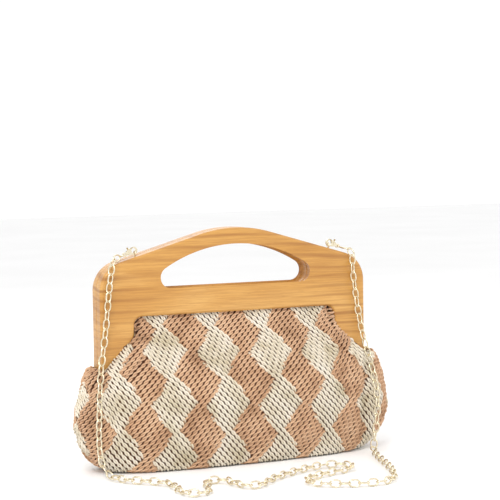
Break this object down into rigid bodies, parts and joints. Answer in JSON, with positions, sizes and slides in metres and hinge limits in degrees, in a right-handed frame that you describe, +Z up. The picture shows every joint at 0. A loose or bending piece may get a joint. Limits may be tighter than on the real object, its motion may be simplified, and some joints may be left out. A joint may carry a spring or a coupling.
{
  "type": "clutch purse",
  "caption": "Wooden-frame clutch purse: two hinged wooden halves with a hand hole, a soft woven bag and a chain shoulder strap.",
  "frame": {"origin": "on the ground under the middle of the bag and its frame, the chain strap left out", "axes": "+X along the frame, -Y the front, +Z up"},
  "size_m": [0.32, 0.2314, 0.223],
  "materials": {
    "wood": "satin lacquer over straight grain",
    "woven_brown": "twisted cord, rose brown",
    "woven_cream": "twisted cord, cream",
    "lining": "plain twill",
    "board": "matt",
    "strip_wood": "bare",
    "magnet": "nickel plated",
    "spring": "spring steel",
    "trigger": "dark gold",
    "hinge_brass": "brass plated",
    "gold": "light champagne gold"
  },
  "bodies": {
    "bag": {"lower_shell": "woven_brown", "lower_lining": "lining", "base_board": "board", "inner_pocket": "lining", "hinge_pins": "hinge_brass", "front_fold": "woven_brown", "back_fold": "woven_brown", "chain_strap": "gold"},
    "front_frame": {"front_wood": "wood", "front_hinge_leaves": "hinge_brass", "front_hinge_screws": "hinge_brass", "front_panel": "woven_brown", "front_lining": "lining", "front_clamp_strip": "strip_wood", "front_clamp_screws": "hinge_brass", "front_magnets": "magnet", "screw_eye_left": "gold", "screw_eye_right": "gold", "clasp_left": "gold", "clasp_right": "gold", "clasp_rivet_left": "gold", "clasp_rivet_right": "gold", "clasp_spring_left": "spring", "clasp_spring_right": "spring", "jump_ring_left": "gold", "jump_ring_right": "gold"},
    "back_frame": {"back_wood": "wood", "back_hinge_leaves": "hinge_brass", "back_hinge_screws": "hinge_brass", "back_panel": "woven_brown", "back_lining": "lining", "back_clamp_strip": "strip_wood", "back_clamp_screws": "hinge_brass", "back_magnets": "magnet"},
    "trigger_left": {"clasp_trigger_left": "trigger"},
    "trigger_right": {"clasp_trigger_right": "trigger"}
  },
  "joints": [
    {"name": "front_open", "type": "hinge", "parent": "bag", "child": "front_frame", "pos_m": [0, 0, 0.086], "axis": [1, 0, 0], "range_deg": [0, 28], "deforming": ["front_fold", "chain_strap"]},
    {"name": "back_open", "type": "hinge", "parent": "bag", "child": "back_frame", "pos_m": [0, 0, 0.086], "axis": [-1, 0, 0], "range_deg": [0, 28], "deforming": ["back_fold"]},
    {"name": "trigger_left_press", "type": "hinge", "parent": "front_frame", "child": "trigger_left", "pos_m": [-0.10714, -0.00615, 0.20389], "axis": [0, 1, 0], "range_deg": [0, 15], "stiffness_Nm_per_rad": 0.0006, "springref_deg": -11.46},
    {"name": "trigger_right_press", "type": "hinge", "parent": "front_frame", "child": "trigger_right", "pos_m": [0.10714, -0.00615, 0.20389], "axis": [0, -1, 0], "range_deg": [0, 15], "stiffness_Nm_per_rad": 0.0006, "springref_deg": -11.46}
  ],
  "couplings": [
    {"joint": "back_open", "follows": "front_open", "ratio": 1}
  ]
}
